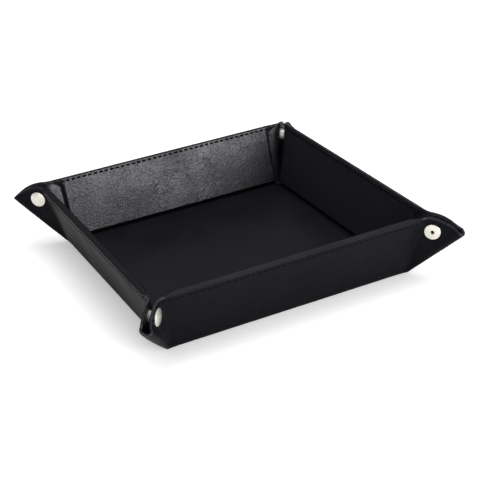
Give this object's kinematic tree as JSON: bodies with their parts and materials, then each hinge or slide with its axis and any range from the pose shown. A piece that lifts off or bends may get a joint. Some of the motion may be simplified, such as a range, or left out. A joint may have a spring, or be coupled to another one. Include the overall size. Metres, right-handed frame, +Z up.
{
  "type": "valet tray",
  "caption": "Square snap-corner valet tray of lined leather over stiff boards; press studs pinch its corners into ears, and it unfolds flat.",
  "frame": {"origin": "centre of the underside of the floor", "axes": "+Z up, out of the open top; the front wall faces -Y, the right wall +X"},
  "size_m": [0.267, 0.267, 0.0514],
  "materials": {
    "outer_leather": "satin",
    "lining_leather": "satin",
    "board": "matte",
    "nickel": "polished"
  },
  "bodies": {
    "floor": {"floor_outer_leather": "outer_leather", "floor_board": "board", "floor_lining": "lining_leather"},
    "front_wall": {"front_outer_leather": "outer_leather", "front_board": "board", "front_lining": "lining_leather"},
    "right_wall": {"right_outer_leather": "outer_leather", "right_board": "board", "right_lining": "lining_leather"},
    "back_wall": {"back_outer_leather": "outer_leather", "back_board": "board", "back_lining": "lining_leather"},
    "left_wall": {"left_outer_leather": "outer_leather", "left_board": "board", "left_lining": "lining_leather"},
    "front_ear_left": {"front_ear_left_outer_leather": "outer_leather", "front_ear_left_lining": "lining_leather", "stud_cap_front_left": "nickel", "stud_socket_front_left": "nickel", "stud_spring_front_left": "nickel"},
    "front_ear_right": {"front_ear_right_outer_leather": "outer_leather", "front_ear_right_lining": "lining_leather", "stud_head_front_right": "nickel", "stud_washer_front_right": "nickel"},
    "right_ear_front": {"right_ear_front_outer_leather": "outer_leather", "right_ear_front_lining": "lining_leather", "stud_cap_front_right": "nickel", "stud_socket_front_right": "nickel", "stud_spring_front_right": "nickel"},
    "right_ear_back": {"right_ear_back_outer_leather": "outer_leather", "right_ear_back_lining": "lining_leather", "stud_head_back_right": "nickel", "stud_washer_back_right": "nickel"},
    "back_ear_right": {"back_ear_right_outer_leather": "outer_leather", "back_ear_right_lining": "lining_leather", "stud_cap_back_right": "nickel", "stud_socket_back_right": "nickel", "stud_spring_back_right": "nickel"},
    "back_ear_left": {"back_ear_left_outer_leather": "outer_leather", "back_ear_left_lining": "lining_leather", "stud_head_back_left": "nickel", "stud_washer_back_left": "nickel"},
    "left_ear_back": {"left_ear_back_outer_leather": "outer_leather", "left_ear_back_lining": "lining_leather", "stud_cap_back_left": "nickel", "stud_socket_back_left": "nickel", "stud_spring_back_left": "nickel"},
    "left_ear_front": {"left_ear_front_outer_leather": "outer_leather", "left_ear_front_lining": "lining_leather", "stud_head_front_left": "nickel", "stud_washer_front_left": "nickel"}
  },
  "joints": [
    {"name": "front_wall_fold", "type": "hinge", "parent": "floor", "child": "front_wall", "pos_m": [0, -0.1, 0.0009], "axis": [1, 0, 0], "range_deg": [0, 69]},
    {"name": "right_wall_fold", "type": "hinge", "parent": "floor", "child": "right_wall", "pos_m": [0.1, 0, 0.0009], "axis": [0, 1, 0], "range_deg": [0, 69]},
    {"name": "back_wall_fold", "type": "hinge", "parent": "floor", "child": "back_wall", "pos_m": [0, 0.1, 0.0009], "axis": [-1, 0, 0], "range_deg": [0, 69]},
    {"name": "left_wall_fold", "type": "hinge", "parent": "floor", "child": "left_wall", "pos_m": [-0.1, 0, 0.0009], "axis": [0, -1, 0], "range_deg": [0, 69]},
    {"name": "front_ear_left_fold", "type": "hinge", "parent": "front_wall", "child": "front_ear_left", "pos_m": [-0.09562, -0.1, 0.0009], "axis": [0.2806, 0.2806, -0.9179], "range_deg": [0, 43]},
    {"name": "front_ear_right_fold", "type": "hinge", "parent": "front_wall", "child": "front_ear_right", "pos_m": [0.09562, -0.1, 0.0009], "axis": [0.2806, -0.2806, 0.9179], "range_deg": [0, 43]},
    {"name": "right_ear_front_fold", "type": "hinge", "parent": "right_wall", "child": "right_ear_front", "pos_m": [0.1, -0.09562, 0.0009], "axis": [-0.2806, 0.2806, -0.9179], "range_deg": [0, 43]},
    {"name": "right_ear_back_fold", "type": "hinge", "parent": "right_wall", "child": "right_ear_back", "pos_m": [0.1, 0.09562, 0.0009], "axis": [0.2806, 0.2806, 0.9179], "range_deg": [0, 43]},
    {"name": "back_ear_right_fold", "type": "hinge", "parent": "back_wall", "child": "back_ear_right", "pos_m": [0.09562, 0.1, 0.0009], "axis": [-0.2806, -0.2806, -0.9179], "range_deg": [0, 43]},
    {"name": "back_ear_left_fold", "type": "hinge", "parent": "back_wall", "child": "back_ear_left", "pos_m": [-0.09562, 0.1, 0.0009], "axis": [-0.2806, 0.2806, 0.9179], "range_deg": [0, 43]},
    {"name": "left_ear_back_fold", "type": "hinge", "parent": "left_wall", "child": "left_ear_back", "pos_m": [-0.1, 0.09562, 0.0009], "axis": [0.2806, -0.2806, -0.9179], "range_deg": [0, 43]},
    {"name": "left_ear_front_fold", "type": "hinge", "parent": "left_wall", "child": "left_ear_front", "pos_m": [-0.1, -0.09562, 0.0009], "axis": [-0.2806, -0.2806, 0.9179], "range_deg": [0, 43]}
  ],
  "couplings": [
    {"joint": "right_wall_fold", "follows": "front_wall_fold", "ratio": 1},
    {"joint": "back_wall_fold", "follows": "front_wall_fold", "ratio": 1},
    {"joint": "left_wall_fold", "follows": "front_wall_fold", "ratio": 1},
    {"joint": "front_ear_left_fold", "follows": "front_wall_fold", "ratio": 0.62},
    {"joint": "front_ear_right_fold", "follows": "front_wall_fold", "ratio": 0.62},
    {"joint": "right_ear_front_fold", "follows": "front_wall_fold", "ratio": 0.62},
    {"joint": "right_ear_back_fold", "follows": "front_wall_fold", "ratio": 0.62},
    {"joint": "back_ear_right_fold", "follows": "front_wall_fold", "ratio": 0.62},
    {"joint": "back_ear_left_fold", "follows": "front_wall_fold", "ratio": 0.62},
    {"joint": "left_ear_back_fold", "follows": "front_wall_fold", "ratio": 0.62},
    {"joint": "left_ear_front_fold", "follows": "front_wall_fold", "ratio": 0.62}
  ]
}
